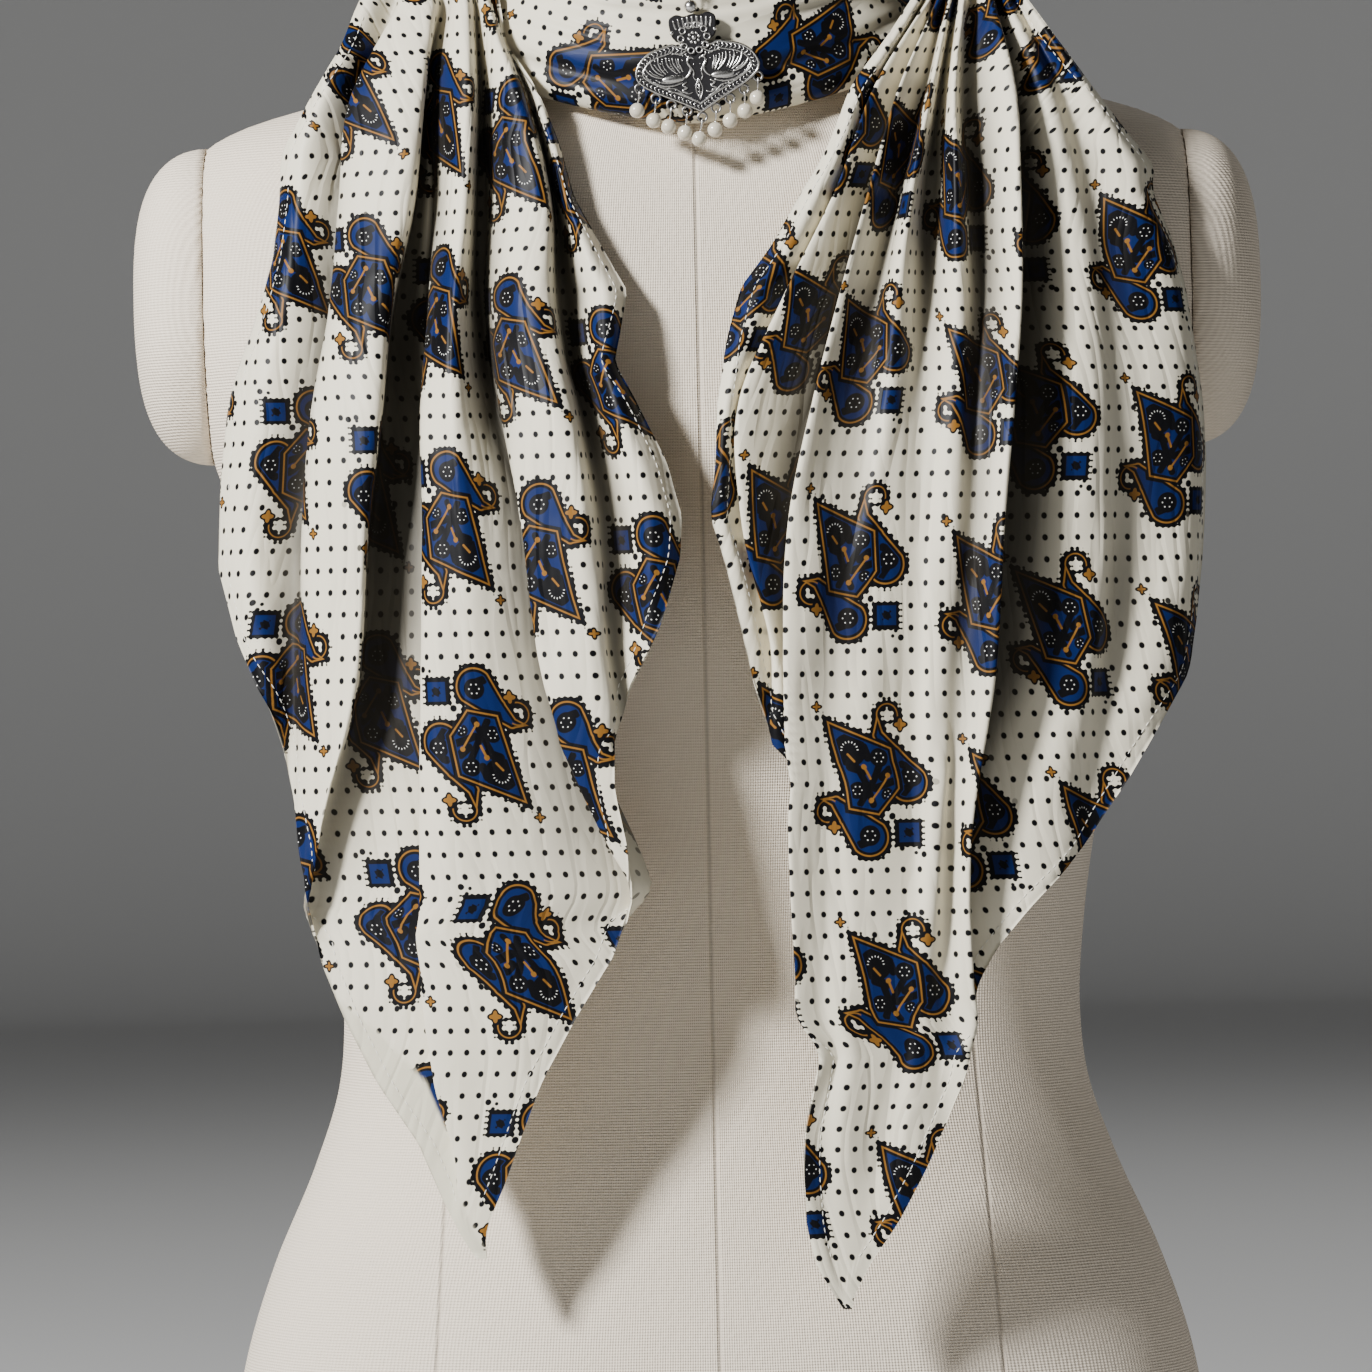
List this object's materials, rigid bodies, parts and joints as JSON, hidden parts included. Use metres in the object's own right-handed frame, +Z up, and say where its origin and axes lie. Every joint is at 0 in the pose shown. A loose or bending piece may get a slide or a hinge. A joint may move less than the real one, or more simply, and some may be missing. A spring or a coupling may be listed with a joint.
{
  "type": "scarf necklace on a dress form",
  "caption": "Printed square silk scarf wound round the neck of a limbless dress form, two pleated tails hanging in front, with a cast pendant and small pearl drops on its band.",
  "frame": {"origin": "middle of the form's flat base, on its own median plane", "axes": "+Z up, the front faces -Y, +X is to the right of someone who looks at the front"},
  "size_m": [0.4294, 0.259, 0.6523],
  "materials": {
    "canvas": "coarse matt canvas",
    "silk": "printed satin-weave silk",
    "silver": "darkened cast silver",
    "pearl": "cream pearl lustre"
  },
  "bodies": {
    "dressed_form": {"form_torso": "canvas", "form_neck_cap": "canvas", "form_arm_cap_left": "canvas", "form_arm_cap_right": "canvas", "scarf_front_band": "silk", "scarf_tail_left": "silk", "scarf_nape_under": "silk", "scarf_tail_right": "silk", "scarf_nape_over": "silk", "pendant_sewn_ring": "silver"},
    "pendant": {"pendant_plate": "silver", "pendant_top_bead": "silver"},
    "drop_1": {"pearl_link_1": "silver", "pearl_1": "pearl"},
    "drop_2": {"pearl_link_2": "silver", "pearl_2": "pearl"},
    "drop_3": {"pearl_link_3": "silver", "pearl_3": "pearl"},
    "drop_4": {"pearl_link_4": "silver", "pearl_4": "pearl"},
    "drop_5": {"pearl_link_5": "silver", "pearl_5": "pearl"},
    "drop_6": {"pearl_link_6": "silver", "pearl_6": "pearl"},
    "drop_7": {"pearl_link_7": "silver", "pearl_7": "pearl"},
    "drop_8": {"pearl_link_8": "silver", "pearl_8": "pearl"},
    "drop_9": {"pearl_link_9": "silver", "pearl_9": "pearl"}
  },
  "joints": [
    {"name": "pendant_swing", "type": "hinge", "parent": "dressed_form", "child": "pendant", "pos_m": [-0.001, -0.0975, 0.596], "axis": [-1, 0, 0], "range_deg": [0, 70]},
    {"name": "drop_1_swing", "type": "hinge", "parent": "pendant", "child": "drop_1", "pos_m": [-0.02002, -0.0975, 0.55805], "axis": [-0.9877, 0, 0.1564], "range_deg": [-20, 60]},
    {"name": "drop_2_swing", "type": "hinge", "parent": "pendant", "child": "drop_2", "pos_m": [-0.01404, -0.0975, 0.55427], "axis": [-0.9903, 0, 0.1392], "range_deg": [-20, 60]},
    {"name": "drop_3_swing", "type": "hinge", "parent": "pendant", "child": "drop_3", "pos_m": [-0.00837, -0.0975, 0.55186], "axis": [-0.9848, 0, 0.1736], "range_deg": [-20, 60]},
    {"name": "drop_4_swing", "type": "hinge", "parent": "pendant", "child": "drop_4", "pos_m": [-0.00258, -0.0975, 0.54947], "axis": [-0.9903, 0, 0.1392], "range_deg": [-20, 60]},
    {"name": "drop_5_swing", "type": "hinge", "parent": "pendant", "child": "drop_5", "pos_m": [0.00296, -0.0975, 0.54709], "axis": [-0.9816, 0, 0.1908], "range_deg": [-20, 60]},
    {"name": "drop_6_swing", "type": "hinge", "parent": "pendant", "child": "drop_6", "pos_m": [0.00826, -0.0975, 0.55041], "axis": [-0.9962, 0, 0.0872], "range_deg": [-20, 60]},
    {"name": "drop_7_swing", "type": "hinge", "parent": "pendant", "child": "drop_7", "pos_m": [0.01358, -0.0975, 0.55376], "axis": [-0.9994, 0, 0.0349], "range_deg": [-20, 60]},
    {"name": "drop_8_swing", "type": "hinge", "parent": "pendant", "child": "drop_8", "pos_m": [0.01886, -0.0975, 0.55714], "axis": [-1, 0, 0], "range_deg": [-20, 60]},
    {"name": "drop_9_swing", "type": "hinge", "parent": "pendant", "child": "drop_9", "pos_m": [0.02395, -0.0975, 0.56188], "axis": [-0.9976, 0, 0.0698], "range_deg": [-20, 60]}
  ]
}
